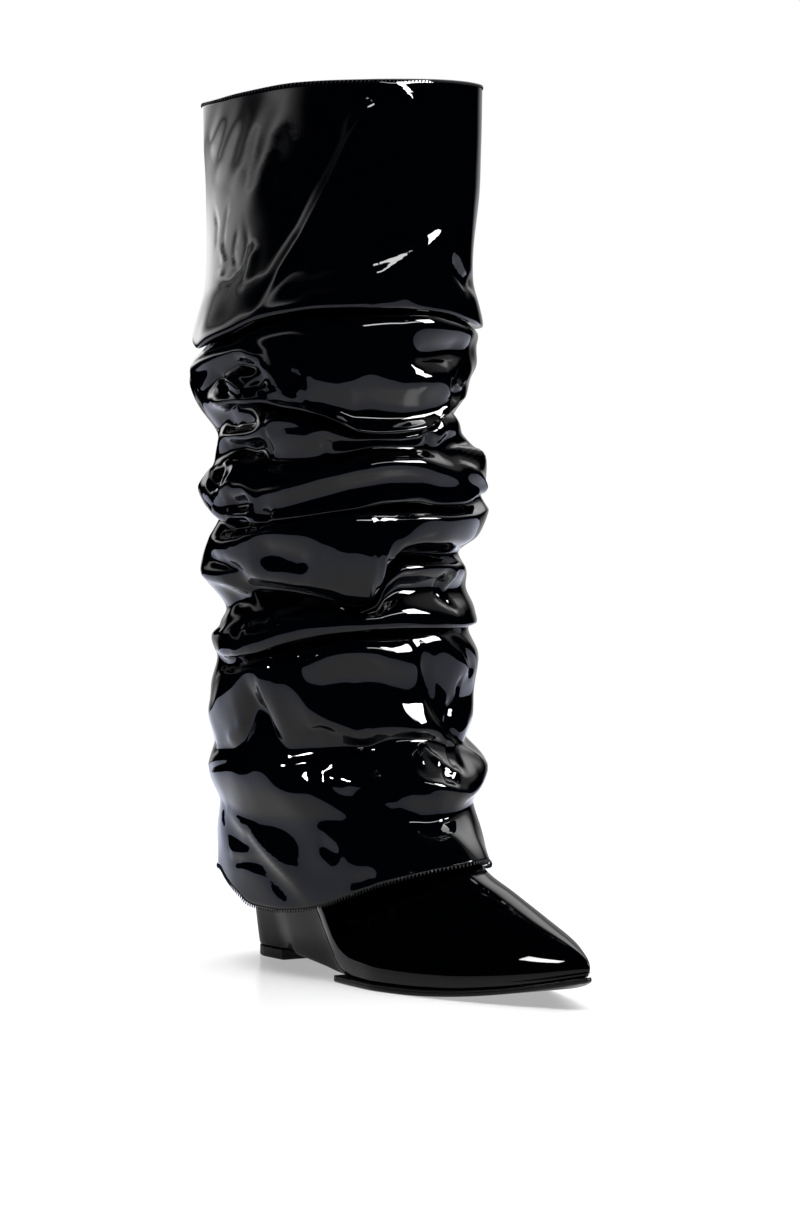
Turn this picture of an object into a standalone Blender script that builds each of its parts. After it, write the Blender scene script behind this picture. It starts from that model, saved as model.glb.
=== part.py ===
"""Right wedge boot with a pointed toe and a loose outer sleeve pushed down in folds.

Metres, +Z up, toe along +X, inner side along +Y. The origin is the middle of the top lift's underside.
"""
import math

import bpy
import numpy as np

# Driving sizes in millimetres
MM = 0.001
GAP = 0.3                 # clearance between pieces that touch
HEEL_BACK = -20.0         # back of the heel seat
TOE_TIP = 240.0           # tip of the upper at the sole
BALL_X = 132.0            # widest place of the sole
BALL_OUTER = 38.5         # half width at the ball, outer side
BALL_INNER = 39.5         # half width at the ball, inner side
WAIST_X = 72.0            # narrowest place of the sole
WAIST_PINCH = 0.10        # share of the width lost at the waist
TIP_INWARD = 6.0          # how far the toe swings to the inner side
TOE_POWER = 1.25          # 1 is a straight-sided point, 2 an oval
HEEL_POWER = 2.7
TOE_SPRING = 12.0
SPRING_FROM = 150.0
SOLE_EDGE = 1.0           # outsole stands out from the upper
SOLE_REAR = 98.0          # outsole ends under the arch
SOLE_FLAT_REAR = 103.0
INSOLE_THICK = 2.0
UPPER_WALL = 1.5
SLEEVE_WALL = 1.6
LIFT_THICK = 5.0
LIFT_BACK = -16.0
LIFT_FRONT = 16.0
LIFT_HALF = 15.0
SLEEVE_COLUMNS = 40
UPPER_COLUMNS = (0, 8, 16, 25, 35, 46, 58, 70, 80, 88, 94, 99, 104, 110, 117, 126, 136, 148, 160, 170, 180)

# Height of the foot's underside along the boot
LAST_BOTTOM = (
    # x, height
    (-26.0, 68.0),
    (0.0, 67.0),
    (20.0, 64.0),
    (45.0, 54.5),
    (65.0, 42.0),
    (80.0, 29.0),
    (90.0, 18.0),
    (99.0, 9.5),
    (107.0, 5.6),
    (116.0, 3.9),
    (130.0, 3.5),
    (150.0, 3.5),
    (175.0, 4.3),
    (200.0, 6.9),
    (220.0, 10.3),
    (242.0, 15.3),
)

# Underside of the wedge, from the top lift to the outsole
WEDGE_UNDER = (
    # x, height
    (-20.0, 5.3),
    (16.0, 5.3),
    (45.0, 5.0),
    (75.0, 4.4),
    (96.0, 3.5),
    (112.0, 3.5),
)

# Half width of the wedge along its underside
WEDGE_FOOTPRINT = (
    # x, half width
    (16.0, 15.0),
    (40.0, 20.5),
    (65.0, 26.0),
    (90.0, 31.0),
    (112.0, 35.0),
)

# Loops of the upper, from the edge at the sole to under the collar
UPPER_LOOPS = (
    # front x, front z, back x, back lift, side lift, outer, inner, widest x, power
    (240.0, 15.0, -20.0, 0.0, 0.0, 38.5, 39.5, 132.0, 1.25),
    (241.2, 19.0, -21.2, 12.0, 10.5, 39.6, 40.6, 131.0, 1.27),
    (236.5, 24.3, -21.4, 23.0, 19.5, 38.0, 39.0, 127.0, 1.32),
    (224.0, 29.6, -20.0, 32.0, 27.0, 35.0, 36.0, 120.0, 1.43),
    (202.0, 37.4, -18.0, 39.0, 32.5, 32.5, 33.5, 108.0, 1.55),
    (176.0, 47.3, -16.0, 44.0, 36.5, 31.5, 32.5, 92.0, 1.65),
    (150.0, 56.8, -14.5, 47.0, 40.0, 33.0, 33.5, 76.0, 1.8),
    (124.0, 75.0, -13.5, 48.0, 45.0, 38.5, 38.5, 60.0, 2.0),
)

# Plain sections of the sleeve before it is folded
SLEEVE_SECTIONS = (
    # height, widest x, front, back, outer, inner, power
    (28.0, 40.0, 121.0, 68.0, 51.0, 47.0, 1.68),
    (56.0, 41.0, 113.0, 69.0, 51.5, 49.0, 1.73),
    (84.0, 43.0, 89.0, 70.0, 54.0, 54.0, 1.87),
    (112.0, 45.0, 70.0, 68.5, 57.0, 58.0, 2.0),
    (150.0, 45.0, 63.0, 64.0, 59.5, 60.0, 2.0),
    (220.0, 45.0, 62.0, 62.0, 61.0, 61.0, 2.0),
    (300.0, 45.0, 63.5, 63.0, 63.0, 62.5, 2.0),
    (412.0, 45.0, 66.8, 66.8, 65.0, 65.0, 2.0),
)

# Directions in which each fold is measured, in degrees from the toe side to the inner side
FOLD_STATIONS = (-120, -75, -30, 15, 60, 105, 150, 195)

# Folds from the hem to the rim: how sharp, how many rows lead up to it, height and reach at each station
FOLDS = (
    ("hem", 0.0, 0, (40, 32, 50, 58, 49, 44, 42, 41), (0, 0, 1, 2, 1, 1, 0, 0)),
    ("skirt", 0.0, 2, (60, 58, 68, 72, 66, 62, 60, 60), (1, 0, 1, 1, 0, 1, 0, 1)),
    ("skirt tuck", 0.2, 2, (82, 79, 88, 86, 80, 80, 80, 82), (-2, 2, 1, 1, -1, -1, -1, -1)),
    ("knob", 0.0, 2, (100, 97, 97, 97, 97, 99, 100, 100), (3, 3, 0, 2, 5, 3, 2, 2)),
    ("ankle pinch", 0.5, 2, (114, 111, 109, 110, 112, 113, 114, 114), (-1, -4, -8, -5, -4, -4, -4, -3)),
    ("ankle roll", 0.0, 2, (127, 130, 134, 136, 146, 140, 134, 130), (1, 3, 4, 3, 4, 3, 3, 2)),
    ("tuck six", 0.5, 2, (147, 150, 159, 161, 160, 156, 152, 148), (-2, -5, -4, -3, -1, -3, -4, -3)),
    ("roll six", 0.0, 2, (155, 159, 167, 174, 172, 168, 162, 158), (0, 3, 3, 2, 0, 3, 3, 2)),
    ("tuck five", 0.5, 2, (165, 173, 175, 192, 193, 186, 176, 168), (-6, -7, -6, -9, -7, -5, -5, -6)),
    ("roll five", 0.0, 2, (186, 185, 181, 201, 206, 200, 194, 190), (5, 4, 5, 5, 3, 4, 5, 5)),
    ("plane five", 0.0, 1, (201, 204, 206, 211, 217, 212, 206, 203), (0, 2, 2, 4, 7, 4, 2, 1)),
    ("tuck four", 0.5, 1, (212, 211, 215, 217, 224, 219, 214, 212), (-4, -7, -5, -4, 3, -3, -5, -5)),
    ("roll four", 0.0, 2, (223, 226, 228, 230, 234, 230, 226, 224), (6, 4, 4, 3, 6, 4, 4, 5)),
    ("tuck three", 0.5, 1, (236, 238, 241, 243, 245, 242, 239, 237), (-2, -5, -4, -3, -3, -4, -4, -3)),
    ("roll three", 0.0, 1, (242, 249, 247, 248, 250, 248, 246, 243), (-3, 1, 1, 0, -6, -1, 0, -1)),
    ("tuck two", 0.5, 1, (248, 261, 253, 255, 257, 256, 252, 249), (-4, -6, -7, -7, -9, -6, -5, -4)),
    ("roll two", 0.0, 2, (270, 271, 262, 263, 272, 271, 270, 270), (8, 5, 4, 4, 1, 4, 6, 7)),
    ("roll two top", 0.0, 1, (281, 286, 290, 288, 287, 285, 282, 281), (5, 1, 2, 3, 4, 4, 4, 4)),
    ("tuck one", 0.6, 2, (293, 304, 309, 304, 298, 297, 295, 292), (-1, -8, -5, -4, -4, -5, -4, -3)),
    ("cuff edge", 0.2, 1, (294, 305, 310, 306, 300, 298, 296, 293), (5, 3, 2, 2, 2, 3, 4, 5)),
    ("cuff low", 0.0, 2, (318, 324, 328, 326, 323, 321, 319, 317), (1, 1, 1, 1, -2, 0, 1, 1)),
    ("cuff middle", 0.0, 2, (360, 363, 366, 366, 364, 362, 359, 358), (-1, 0, 0, 0, 0, 0, 0, 0)),
    ("rim", 0.0, 3, (402, 406, 410, 411, 410, 406, 402, 400), (0, 0, 0, 0, 0, 0, 0, 0)),
)


def clear_scene():
    for item in list(bpy.data.objects):
        bpy.data.objects.remove(item, do_unlink=True)
    for group in list(bpy.data.collections):
        bpy.data.collections.remove(group)


def table_curve(x, rows, column=1):
    """Smooth value at x from a table, without overshoot between its rows."""
    rows = np.array(rows, float)
    xs = rows[:, 0]
    ys = rows[:, column]
    steps = np.diff(xs)
    slopes = np.diff(ys) / steps
    lean = np.zeros(len(xs))
    same = slopes[:-1] * slopes[1:] > 0.0
    mean = 2.0 * slopes[:-1] * slopes[1:] / np.where(same, slopes[:-1] + slopes[1:], 1.0)
    lean[1:-1] = np.where(same, mean, 0.0)
    lean[0] = slopes[0]
    lean[-1] = slopes[-1]
    x = np.clip(np.asarray(x, float), xs[0], xs[-1])
    i = np.clip(np.searchsorted(xs, x, side="right") - 1, 0, len(steps) - 1)
    h = steps[i]
    u = (x - xs[i]) / h
    return hermite(u, ys[i], ys[i + 1], lean[i] * h, lean[i + 1] * h)


def hermite(u, start, end, start_lean, end_lean):
    """Cubic between two values with a lean at each end."""
    uu = u * u
    uuu = uu * u
    value = (2.0 * uuu - 3.0 * uu + 1.0) * start + (uuu - 2.0 * uu + u) * start_lean
    return value + (3.0 * uu - 2.0 * uuu) * end + (uuu - uu) * end_lean


def station_curve(angles, values):
    """Smooth closed curve through the values at the fold stations."""
    values = np.array(values, float)
    count = len(values)
    place = (np.asarray(angles) - FOLD_STATIONS[0]) / (360.0 / count)
    i = np.floor(place).astype(int)
    u = place - i
    before = values[(i - 1) % count]
    here = values[i % count]
    after = values[(i + 1) % count]
    beyond = values[(i + 2) % count]
    return hermite(u, here, after, 0.5 * (after - before), 0.5 * (beyond - here))


def sleeve_angles():
    return np.arange(SLEEVE_COLUMNS) * 360.0 / SLEEVE_COLUMNS


def upper_angles():
    """Degrees around the upper, closer together where its lower edge turns down to the ball."""
    half = np.array(UPPER_COLUMNS, float)
    return np.concatenate((half, -half[-2:0:-1]))


def toe_swing(x):
    """Shift of the middle line to the inner side in front of the ball."""
    share = np.clip((np.asarray(x, float) - BALL_X) / (TOE_TIP - BALL_X), 0.0, None)
    return TIP_INWARD * share ** 2


def egg(angles, widest, front, back, outer, inner, front_power, back_power=2.0):
    """Plan loop: a pointed or oval front half and a rounder back half."""
    turn = np.radians(angles)
    c = np.cos(turn)
    s = np.sin(turn)
    power = np.where(c >= 0.0, front_power, back_power)
    x = widest + np.where(c >= 0.0, front, back) * c
    y = np.where(s >= 0.0, inner, -outer) * np.clip(1.0 - np.abs(c) ** power, 0.0, 1.0) ** (1.0 / power)
    return x, y


def waist(x):
    return 1.0 - WAIST_PINCH * np.exp(-((np.asarray(x, float) - WAIST_X) / 34.0) ** 2)


def sole_half_width(x, inset, inner_side):
    """Half width of the sole's outline, measured from the swinging middle line."""
    ball = (BALL_INNER if inner_side else BALL_OUTER) - inset
    front = TOE_TIP - BALL_X - inset * 2.3
    back = BALL_X - HEEL_BACK - inset
    x = np.asarray(x, float) - BALL_X
    fore = np.clip(1.0 - np.clip(x / front, 0.0, 1.0) ** TOE_POWER, 0.0, 1.0) ** (1.0 / TOE_POWER)
    hind = np.clip(1.0 - np.clip(-x / back, 0.0, 1.0) ** HEEL_POWER, 0.0, 1.0) ** (1.0 / HEEL_POWER)
    return ball * np.where(x >= 0.0, fore, hind) * waist(x + BALL_X)


def sole_stations(start, end, count):
    """Places along the sole, closer together toward both ends."""
    turn = np.linspace(0.0, math.pi, count)
    return start + (end - start) * 0.5 * (1.0 - np.cos(turn))


def last_bottom(x):
    return table_curve(x, LAST_BOTTOM)


def sole_under(x):
    """Underside of the outsole: flat at the ball, turned up at the toe and at its rear end."""
    x = np.asarray(x, float)
    spring = np.clip((x - SPRING_FROM) / (TOE_TIP - SPRING_FROM), 0.0, None) ** 1.9 * TOE_SPRING
    rear = np.clip((SOLE_FLAT_REAR - x) / (SOLE_FLAT_REAR - SOLE_REAR), 0.0, 1.0) ** 2 * 0.8
    return spring + rear


def make_object(name, points, faces, material, group, smooth=True):
    mesh = bpy.data.meshes.new(name)
    mesh.from_pydata((np.asarray(points, float) * MM).tolist(), [], faces)
    mesh.update()
    if smooth:
        mesh.polygons.foreach_set("use_smooth", [True] * len(mesh.polygons))
    mesh.materials.append(material)
    item = bpy.data.objects.new(name, mesh)
    group.objects.link(item)
    return item


def tube_faces(rows, columns):
    """Quads of a grid that closes around its columns."""
    faces = []
    for r in range(rows - 1):
        for c in range(columns):
            d = (c + 1) % columns
            faces.append((r * columns + c, r * columns + d, (r + 1) * columns + d, (r + 1) * columns + c))
    return faces


def loft(name, rings, material, group, smooth=True):
    """Closed solid through rings of equal length, with flat ends."""
    rows = len(rings)
    columns = len(rings[0])
    faces = tube_faces(rows, columns)
    faces.append(tuple(reversed(range(columns))))
    faces.append(tuple(range((rows - 1) * columns, rows * columns)))
    return make_object(name, np.concatenate(rings), faces, material, group, smooth)


def add_wall(item, thickness):
    """Gives an open surface its wall on the inner side."""
    wall = item.modifiers.new("wall", "SOLIDIFY")
    wall.thickness = thickness * MM
    wall.offset = -1.0
    wall.use_even_offset = False
    return wall


def slab_ring(x, outer, inner, under, top, middle, bevel):
    """Cross-section of a sole piece with bevelled edges, at one place along it."""
    cut = min(bevel, 0.3 * (top - under), 0.3 * (outer + inner))
    return np.array((
        (x, middle - outer + cut, under),
        (x, middle + inner - cut, under),
        (x, middle + inner, under + cut),
        (x, middle + inner, top - cut),
        (x, middle + inner - cut, top),
        (x, middle - outer + cut, top),
        (x, middle - outer, top - cut),
        (x, middle - outer, under + cut),
    ))


def seat_line(x):
    """Height of the upper's lower edge, straight between its columns."""
    edge = upper_loop(UPPER_LOOPS[0], upper_angles())
    order = np.argsort(edge[:, 0])
    return float(np.interp(x, edge[order, 0], edge[order, 2]))


def build_outsole(material, group):
    """Thin slab under the forefoot, a little wider than the upper."""
    front = TOE_TIP + SOLE_EDGE * 1.2
    rings = []
    for x in sole_stations(SOLE_REAR, front, 28):
        reach = min(x, front - 0.15)
        outer = max(sole_half_width(reach, -SOLE_EDGE, False), 0.9)
        inner = max(sole_half_width(reach, -SOLE_EDGE, True), 0.9)
        top = last_bottom(x) - GAP
        if x < 116.0:
            top = 3.2
        rings.append(slab_ring(x, outer, inner, float(sole_under(x)), float(top), float(toe_swing(x)), 0.8))
    return loft("outsole", rings, material, group)


def build_insole(material, group):
    """Board inside the upper, on the wedge and the outsole."""
    inset = UPPER_WALL + 3.0 * GAP
    start = HEEL_BACK + inset + 0.4
    end = TOE_TIP - inset * 2.3 - 1.0
    rings = []
    for x in sole_stations(start, end, 40):
        outer = max(sole_half_width(x, inset, False), 0.9)
        inner = max(sole_half_width(x, inset, True), 0.9)
        under = max(float(last_bottom(x)), seat_line(x)) + GAP
        rings.append(slab_ring(x, outer, inner, under, under + INSOLE_THICK, float(toe_swing(x)), 0.6))
    return loft("insole", rings, material, group)


def build_wedge(material, group):
    """Block between the foot and the floor: wide above, narrow at the top lift."""
    top_end = 111.0
    levels = (0.0, 0.04, 0.3, 0.62, 0.96, 1.0)
    rings = []
    for share in sole_stations(0.0, 1.0, 32):
        top_x = HEEL_BACK + 0.4 + (top_end - HEEL_BACK - 0.4) * share
        low_x = LIFT_BACK + 0.3 + (top_end - LIFT_BACK - 0.3) * share
        outer_top = max(float(sole_half_width(top_x, 0.2, False)), 1.2)
        inner_top = max(float(sole_half_width(top_x, 0.2, True)), 1.2)
        low = float(table_curve(low_x, WEDGE_FOOTPRINT)) * lift_share(low_x)
        low = max(low, 1.0)
        top = seat_line(top_x) - GAP
        under = float(table_curve(low_x, WEDGE_UNDER))
        outer_side = []
        inner_side = []
        for level in levels:
            lean = level ** 0.8
            x = low_x + (top_x - low_x) * lean
            z = under + (top - under) * level
            tuck = 0.5 if level in (0.0, 1.0) else 0.0
            outer_side.append((x, -(low + (outer_top - low) * lean - tuck), z))
            inner_side.append((x, low + (inner_top - low) * lean - tuck, z))
        rings.append(np.array(inner_side + outer_side[::-1]))
    return loft("wedge_heel", rings, material, group)


def lift_share(x):
    """Rounds the back end of the wedge's foot and of the top lift."""
    middle = 2.0
    back = np.clip((middle - np.asarray(x, float)) / (middle - LIFT_BACK), 0.0, 1.0)
    return float(np.clip(1.0 - back ** 2.4, 0.0, 1.0) ** (1.0 / 2.4))


def build_lift(material, group):
    """Flat rubber piece with a rounded back and a straight front."""
    outline = []
    for turn in np.linspace(-90.0, 90.0, 17):
        s = math.sin(math.radians(turn))
        c = math.cos(math.radians(turn))
        x = 2.0 - (2.0 - LIFT_BACK) * c ** (2.0 / 2.4)
        y = LIFT_HALF * math.copysign(abs(s) ** (2.0 / 2.4), -s)
        outline.append((x, y))
    outline += [(LIFT_FRONT - 1.0, -LIFT_HALF - 0.05), (LIFT_FRONT, -LIFT_HALF + 0.9)]
    outline += [(LIFT_FRONT, LIFT_HALF - 0.9), (LIFT_FRONT - 1.0, LIFT_HALF + 0.05)]
    outline = np.array(outline)
    rings = []
    for z, inset in ((0.0, 0.5), (0.5, 0.0), (LIFT_THICK - 0.3, 0.0), (LIFT_THICK, 0.3)):
        scale = 1.0 - inset / LIFT_HALF
        rings.append(np.column_stack((outline * scale, np.full(len(outline), z))))
    return loft("heel_top_lift", rings, material, group, smooth=False)


def upper_loop(row, angles):
    """One closed loop of the upper at its own height along the boot."""
    front_x, front_z, back_x, back_lift, side_lift, outer, inner, widest, power = row
    x, y = egg(angles, widest, front_x - widest, widest - back_x, outer, inner, power, HEEL_POWER)
    along = (x - back_x) / (front_x - back_x)
    front_lift = front_z - float(last_bottom(front_x))
    middle = 0.55
    lift = back_lift * (along - middle) * (along - 1.0) / middle
    lift = lift + side_lift * along * (along - 1.0) / (middle * (middle - 1.0))
    lift = lift + front_lift * along * (along - middle) / (1.0 - middle)
    return np.column_stack((x, y * waist(x) + toe_swing(x), last_bottom(x) + lift))


def smooth_rings(rings, steps):
    """Adds rings between the given ones along smooth curves."""
    rings = np.array(rings)
    result = [rings[0]]
    for i in range(len(rings) - 1):
        before = rings[max(i - 1, 0)]
        after = rings[min(i + 2, len(rings) - 1)]
        lean = 0.5 * (rings[i + 1] - before)
        end_lean = 0.5 * (after - rings[i])
        for step in range(1, steps[i] + 1):
            result.append(hermite(step / steps[i], rings[i], rings[i + 1], lean, end_lean))
    return result


def sleeve_points(angles, height, reach):
    """Points of the sleeve at given heights, standing out from its plain section by the reach."""
    section = [table_curve(height, SLEEVE_SECTIONS, column) for column in range(1, 7)]
    widest, front, back, outer, inner, power = section
    x, y = egg(angles, widest, front, back, outer, inner, power)
    lean_x = (x - widest) / np.where(x >= widest, front, back) ** 2
    lean_y = y / np.where(y >= 0.0, inner, outer) ** 2
    size = np.hypot(lean_x, lean_y)
    return np.column_stack((x + reach * lean_x / size, y + reach * lean_y / size, height))


def sleeve_rings(angles):
    """Rings of the sleeve's outside from the hem to the rim, and the ring at the ankle pinch."""
    heights = [station_curve(angles, fold[3]) for fold in FOLDS]
    reaches = [station_curve(angles, fold[4]) for fold in FOLDS]
    sharp = [fold[1] for fold in FOLDS]
    rings = [sleeve_points(angles, heights[0], reaches[0])]
    pinch = None
    last = len(FOLDS) - 1
    for k in range(last):
        lean = []
        for values in (heights, reaches):
            low = 0.5 * (1.0 - sharp[k]) * (values[k + 1] - values[max(k - 1, 0)])
            high = 0.5 * (1.0 - sharp[k + 1]) * (values[min(k + 2, last)] - values[k])
            lean.append((low, high))
        for step in range(1, FOLDS[k + 1][2] + 1):
            u = step / FOLDS[k + 1][2]
            height = hermite(u, heights[k], heights[k + 1], *lean[0])
            reach = hermite(u, reaches[k], reaches[k + 1], *lean[1])
            rings.append(sleeve_points(angles, height, reach))
        if FOLDS[k + 1][0] == "ankle pinch":
            pinch = (heights[k + 1], reaches[k + 1])
    return rings, pinch


def build_sleeve(material, group):
    rings, pinch = sleeve_rings(sleeve_angles())
    faces = tube_faces(len(rings), SLEEVE_COLUMNS)
    item = make_object("sleeve_shaft", np.concatenate(rings), faces, material, group)
    add_wall(item, SLEEVE_WALL)
    return item


def build_upper(material, group):
    """Shell of the foot: pointed vamp, heel and ankle, flaring to the sleeve at the collar."""
    angles = upper_angles()
    rings = [upper_loop(row, angles) for row in UPPER_LOOPS]
    rings_out, pinch = sleeve_rings(angles)
    height, reach = pinch
    inside = SLEEVE_WALL + GAP
    rings.append(sleeve_points(angles, height - 12.0, reach * 0.5 - inside - 9.0))
    rings.append(sleeve_points(angles, height, reach - inside - 0.4))
    steps = [2] * (len(rings) - 1)
    rings = smooth_rings(rings, steps)
    item = make_object("upper", np.concatenate(rings), tube_faces(len(rings), len(angles)), material, group)
    add_wall(item, UPPER_WALL)
    return item


def make_material(name, color, roughness, metallic=0.0):
    material = bpy.data.materials.new(name)
    material.use_nodes = True
    shader = material.node_tree.nodes["Principled BSDF"]
    shader.inputs["Base Color"].default_value = (*color, 1.0)
    shader.inputs["Roughness"].default_value = roughness
    shader.inputs["Metallic"].default_value = metallic
    return material


def main():
    clear_scene()
    group = bpy.data.collections.new("wedge_boot")
    bpy.context.scene.collection.children.link(group)
    build_outsole(make_material("outsole_rubber", (0.016, 0.016, 0.017), 0.45), group)
    build_lift(make_material("lift_rubber", (0.02, 0.02, 0.02), 0.6), group)
    build_wedge(make_material("wedge_patent", (0.012, 0.012, 0.013), 0.16), group)
    build_insole(make_material("insole_cloth", (0.05, 0.045, 0.042), 0.7), group)
    build_upper(make_material("upper_patent", (0.010, 0.010, 0.011), 0.12), group)
    build_sleeve(make_material("sleeve_patent", (0.008, 0.008, 0.010), 0.1), group)


main()
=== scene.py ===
# Looks of a black patent wedge boot with a slouched sleeve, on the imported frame
import math
import bpy
import numpy as np
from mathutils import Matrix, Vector


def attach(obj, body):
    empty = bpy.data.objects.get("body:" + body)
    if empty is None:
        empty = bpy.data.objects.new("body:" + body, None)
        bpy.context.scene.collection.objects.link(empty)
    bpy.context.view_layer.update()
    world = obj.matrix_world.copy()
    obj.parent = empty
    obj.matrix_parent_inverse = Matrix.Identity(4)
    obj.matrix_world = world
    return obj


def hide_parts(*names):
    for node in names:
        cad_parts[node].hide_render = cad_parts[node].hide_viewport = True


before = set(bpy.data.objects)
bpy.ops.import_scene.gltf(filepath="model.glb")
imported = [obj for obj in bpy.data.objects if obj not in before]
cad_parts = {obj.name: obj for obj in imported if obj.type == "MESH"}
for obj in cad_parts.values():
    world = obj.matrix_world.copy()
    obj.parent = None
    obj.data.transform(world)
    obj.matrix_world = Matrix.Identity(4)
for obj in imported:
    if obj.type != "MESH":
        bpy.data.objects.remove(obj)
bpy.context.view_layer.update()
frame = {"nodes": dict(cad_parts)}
print("frame loaded")

mm = 0.001


# cubic between two values with a lean at each end
def hermite(u, start, end, startLean, endLean):
    uu = u * u
    uuu = uu * u
    value = (2 * uuu - 3 * uu + 1) * start + (uuu - 2 * uu + u) * startLean
    return value + (3 * uu - 2 * uuu) * end + (uuu - uu) * endLean


# value at x on a smooth curve through the points (xs, ys) that never overshoots them
def throughPoints(x, xs, ys):
    steps = np.diff(xs)
    slopes = np.diff(ys) / steps
    same = slopes[:-1] * slopes[1:] > 0
    mean = 2 * slopes[:-1] * slopes[1:] / np.where(same, slopes[:-1] + slopes[1:], 1)
    lean = np.concatenate((slopes[:1], np.where(same, mean, 0), slopes[-1:]))
    x = np.clip(np.asarray(x, float), xs[0], xs[-1])
    i = np.clip(np.searchsorted(xs, x, side="right") - 1, 0, len(steps) - 1)
    return hermite((x - xs[i]) / steps[i], ys[i], ys[i + 1], lean[i] * steps[i], lean[i + 1] * steps[i])


# the same curve through a table's first column and another
def tableCurve(x, rows, column=1):
    rows = np.array(rows, float)
    return throughPoints(x, rows[:, 0], rows[:, column])


# the same curve closed around a full turn, for a list whose first column is degrees
def aroundCurve(angles, rows, column):
    rows = np.array(sorted(rows), float)
    xs = np.concatenate((rows[-2:, 0] - 360, rows[:, 0], rows[:2, 0] + 360))
    ys = np.concatenate((rows[-2:, column], rows[:, column], rows[:2, column]))
    return throughPoints((np.asarray(angles) + 180) % 360 - 180, xs, ys)


# new object at the origin, in the scene
def addObject(name, data):
    item = bpy.data.objects.new(name, data)
    bpy.context.scene.collection.objects.link(item)
    return item


# quads of a grid of points; it closes around its columns, and around its rows if closed
def gridPiece(name, points, materials, closed=True, slotOfRow=None):
    rows, columns = points.shape[:2]
    r = np.arange(rows if closed else rows - 1)[:, None]
    c = np.arange(columns)[None, :]
    up = (r + 1) % rows
    right = (c + 1) % columns
    corners = (r * columns + c, r * columns + right, up * columns + right, up * columns + c)
    quads = np.stack(np.broadcast_arrays(*corners), axis=-1).reshape(-1, 4)
    mesh = bpy.data.meshes.new(name)
    mesh.vertices.add(rows * columns)
    mesh.vertices.foreach_set("co", (points * mm).astype(np.float32).ravel())
    mesh.loops.add(quads.size)
    mesh.loops.foreach_set("vertex_index", quads.astype(np.int32).ravel())
    mesh.polygons.add(len(quads))
    mesh.polygons.foreach_set("loop_start", np.arange(0, quads.size, 4, dtype=np.int32))
    mesh.polygons.foreach_set("use_smooth", np.ones(len(quads), bool))
    for material in materials:
        mesh.materials.append(material)
    if slotOfRow is not None:
        mesh.polygons.foreach_set("material_index", np.repeat(slotOfRow[:len(r)], columns).astype(np.int32))
    mesh.update()
    mesh.validate()
    return addObject(name, mesh)


# outward unit normals of a grid that closes around its columns
def gridNormals(points):
    along = np.roll(points, -1, axis=1) - np.roll(points, 1, axis=1)
    up = np.gradient(points, axis=0)
    normal = np.cross(along, up)
    return normal / np.maximum(np.linalg.norm(normal, axis=2, keepdims=True), 1e-9)


# new material with its nodes and links
def nodeMaterial(name):
    material = bpy.data.materials.new(name)
    material.use_nodes = True
    return material, material.node_tree.nodes, material.node_tree.links


# patent: near-black base under a clear coat, with a faint wobble in the gloss
def patentMaterial(name, tint, coat, coatRough, wobble):
    material, nodes, links = nodeMaterial(name)
    shader = nodes["Principled BSDF"]
    shader.inputs["Base Color"].default_value = (*tint, 1)
    shader.inputs["Roughness"].default_value = 0.4
    shader.inputs["Specular IOR Level"].default_value = 0.0
    shader.inputs["Coat Weight"].default_value = coat
    shader.inputs["Coat Roughness"].default_value = coatRough
    shader.inputs["Coat IOR"].default_value = 1.295
    place = nodes.new("ShaderNodeTexCoord")
    ripple = nodes.new("ShaderNodeTexNoise")
    ripple.inputs["Scale"].default_value = 140
    ripple.inputs["Detail"].default_value = 2
    bump = nodes.new("ShaderNodeBump")
    bump.inputs["Strength"].default_value = wobble
    bump.inputs["Distance"].default_value = 0.0006
    links.new(place.outputs["Object"], ripple.inputs["Vector"])
    links.new(ripple.outputs["Fac"], bump.inputs["Height"])
    links.new(bump.outputs["Normal"], shader.inputs["Normal"])
    links.new(bump.outputs["Normal"], shader.inputs["Coat Normal"])
    return material


# dull cloth, rubber or thread: a base colour broken by a fine noise, and a grain bump
def dullMaterial(name, tint, rough, grain, depth):
    material, nodes, links = nodeMaterial(name)
    shader = nodes["Principled BSDF"]
    shader.inputs["Roughness"].default_value = rough
    shader.inputs["Specular IOR Level"].default_value = 0.12
    place = nodes.new("ShaderNodeTexCoord")
    noise = nodes.new("ShaderNodeTexNoise")
    noise.inputs["Scale"].default_value = grain
    noise.inputs["Detail"].default_value = 4
    ramp = nodes.new("ShaderNodeValToRGB")
    ramp.color_ramp.elements[0].color = (*[0.72 * v for v in tint], 1)
    ramp.color_ramp.elements[1].color = (*[1.28 * v for v in tint], 1)
    bump = nodes.new("ShaderNodeBump")
    bump.inputs["Strength"].default_value = depth
    bump.inputs["Distance"].default_value = 0.0003
    links.new(place.outputs["Object"], noise.inputs["Vector"])
    links.new(noise.outputs["Fac"], ramp.inputs["Fac"])
    links.new(ramp.outputs["Color"], shader.inputs["Base Color"])
    links.new(noise.outputs["Fac"], bump.inputs["Height"])
    links.new(bump.outputs["Normal"], shader.inputs["Normal"])
    return material


sleevePatent = patentMaterial("sleevePatent", (0.0005, 0.0008, 0.0016), 1, 0.02, 0.04)
vampPatent = patentMaterial("vampPatent", (0.0003, 0.0004, 0.0008), 0.7, 0.025, 0.03)
wedgePatent = patentMaterial("wedgePatent", (0.001, 0.001, 0.0013), 0.3, 0.1, 0.06)
liningCloth = dullMaterial("liningCloth", (0.016, 0.015, 0.015), 0.75, 900, 0.3)
sockCloth = dullMaterial("sockCloth", (0.03, 0.028, 0.026), 0.8, 1200, 0.35)
soleRubber = dullMaterial("soleRubber", (0.004, 0.004, 0.0045), 0.35, 700, 0.2)
liftRubber = dullMaterial("liftRubber", (0.008, 0.008, 0.008), 0.5, 900, 0.25)
threadBlack = dullMaterial("threadBlack", (0.01, 0.01, 0.011), 0.4, 3000, 0.4)
print("finishes ready")

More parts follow.
